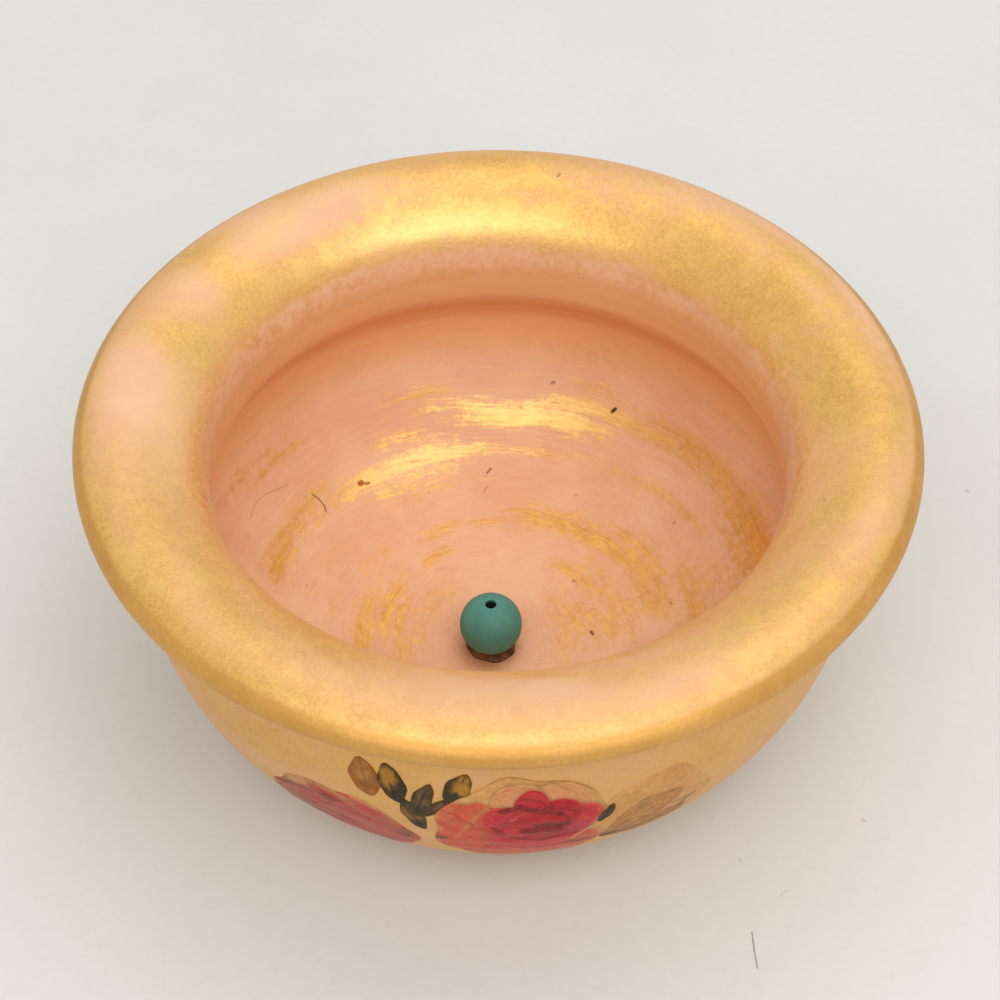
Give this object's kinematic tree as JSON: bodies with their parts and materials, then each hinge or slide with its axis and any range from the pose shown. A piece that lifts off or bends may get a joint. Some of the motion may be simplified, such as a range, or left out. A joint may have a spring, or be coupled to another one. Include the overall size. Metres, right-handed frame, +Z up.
{
  "type": "diya bowl",
  "caption": "Small round clay bowl with a wide flared rim, narrowed neck and round belly, painted peach and gold, with paper roses on the front and an upright glued bead inside.",
  "frame": {"origin": "centre of the foot, on the surface that the bowl stands on", "axes": "+Z up along the axis the bowl was thrown on, -Y towards the front with the paper roses, +X to the right as seen from the front"},
  "size_m": [0.101, 0.101, 0.0464],
  "materials": {
    "painted_clay": "satin",
    "teal_bead": "matte",
    "clear_glue": "gloss",
    "printed_paper_rose": "satin",
    "printed_paper_leaf": "satin",
    "printed_paper_pale": "satin"
  },
  "bodies": {
    "root": {"bowl": "painted_clay", "bead": "teal_bead", "glue_dab": "clear_glue", "centre_rose": "printed_paper_rose", "left_rose": "printed_paper_rose", "bud_sprig": "printed_paper_leaf", "tan_leaf": "printed_paper_leaf", "small_leaf": "printed_paper_leaf", "leaf_spray": "printed_paper_pale"}
  },
  "joints": []
}
